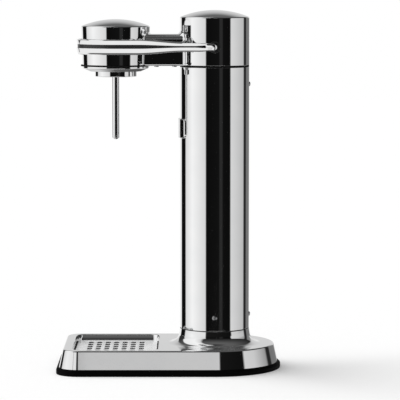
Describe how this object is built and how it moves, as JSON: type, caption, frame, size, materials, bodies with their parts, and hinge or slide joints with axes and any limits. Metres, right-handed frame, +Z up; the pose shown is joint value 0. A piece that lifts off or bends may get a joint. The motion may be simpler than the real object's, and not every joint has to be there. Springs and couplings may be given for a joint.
{
  "type": "sparkling water maker",
  "caption": "Countertop water carbonator: domed column on a drip-tray base, nozzle head with a bottle collar, loop lever that presses an inner gas valve, and a gas cylinder in the column.",
  "frame": {"origin": "middle of the footprint, on the worktop", "axes": "+Z up, -X towards the nozzle head and the front, the part is symmetric about the XZ plane"},
  "size_m": [0.258, 0.153, 0.414],
  "materials": {
    "polished_steel": "polished",
    "tray_steel": "satin",
    "plate_steel": "satin",
    "foot_rubber": "matt",
    "seal_rubber": "matt",
    "black_plastic": "matt",
    "inlay_black": "satin",
    "cast_metal": "as cast",
    "bright_screw": "plated",
    "spring_steel": "drawn wire",
    "valve_brass": "machined",
    "cylinder_alloy": "brushed"
  },
  "bodies": {
    "stand": {"base_shell": "polished_steel", "column_tube": "polished_steel", "upper_casing": "polished_steel", "head_cover": "polished_steel", "bottle_collar": "polished_steel", "nozzle_tube": "polished_steel", "nozzle_tip": "polished_steel", "bridge_cover": "polished_steel", "front_plate": "plate_steel", "foot_ring": "foot_rubber", "valve_seal": "seal_rubber", "bottle_seal": "seal_rubber", "bottom_plate": "black_plastic", "valve_carrier": "black_plastic", "pivot_bushes": "black_plastic", "nozzle_holder": "black_plastic", "column_socket": "cast_metal", "column_screws": "bright_screw", "cover_screws": "bright_screw", "bottom_screws": "bright_screw", "socket_screws": "bright_screw", "block_screws": "bright_screw", "holder_screws": "bright_screw", "gas_tube": "bright_screw", "return_spring": "spring_steel", "relief_spring": "spring_steel", "valve_block": "valve_brass", "tube_nuts": "valve_brass", "relief_cap": "valve_brass"},
    "lever": {"lever_shaft": "bright_screw", "press_finger": "cast_metal", "finger_screw": "bright_screw", "lever_band": "polished_steel", "lever_inlay": "inlay_black", "lever_eyes": "polished_steel"},
    "plunger": {"valve_plunger": "bright_screw"},
    "poppet": {"relief_poppet": "valve_brass"},
    "tray": {"drip_tray": "tray_steel"},
    "cylinder": {"gas_cylinder": "cylinder_alloy", "cylinder_valve": "valve_brass"},
    "pin": {"cylinder_pin": "bright_screw"}
  },
  "joints": [
    {"name": "lever_pull", "type": "hinge", "parent": "stand", "child": "lever", "pos_m": [0.0525, 0, 0.3722], "axis": [0, -1, 0], "range_deg": [0, 22], "stiffness_Nm_per_rad": 3, "springref_deg": -14.32},
    {"name": "plunger_press", "type": "slide", "parent": "stand", "child": "plunger", "axis": [0, 0, -1], "range_m": [0, 0.0031], "deforming": ["return_spring"]},
    {"name": "relief_lift", "type": "slide", "parent": "stand", "child": "poppet", "axis": [0, 0, 1], "range_m": [0, 0.002], "stiffness_N_per_m": 800, "springref_m": -0.006, "deforming": ["relief_spring"]},
    {"name": "tray_lift", "type": "slide", "parent": "stand", "child": "tray", "axis": [0, 0, 1], "range_m": [0, 0.06]},
    {"name": "cylinder_withdraw", "type": "slide", "parent": "stand", "child": "cylinder", "axis": [0, 0, -1], "range_m": [0, 0.36]},
    {"name": "pin_press", "type": "slide", "parent": "cylinder", "child": "pin", "axis": [0, 0, -1], "range_m": [0, 0.0031]}
  ],
  "couplings": [
    {"joint": "plunger_press", "follows": "lever_pull", "m_per_rad": 0.00781},
    {"joint": "pin_press", "follows": "lever_pull", "m_per_rad": 0.00781}
  ]
}
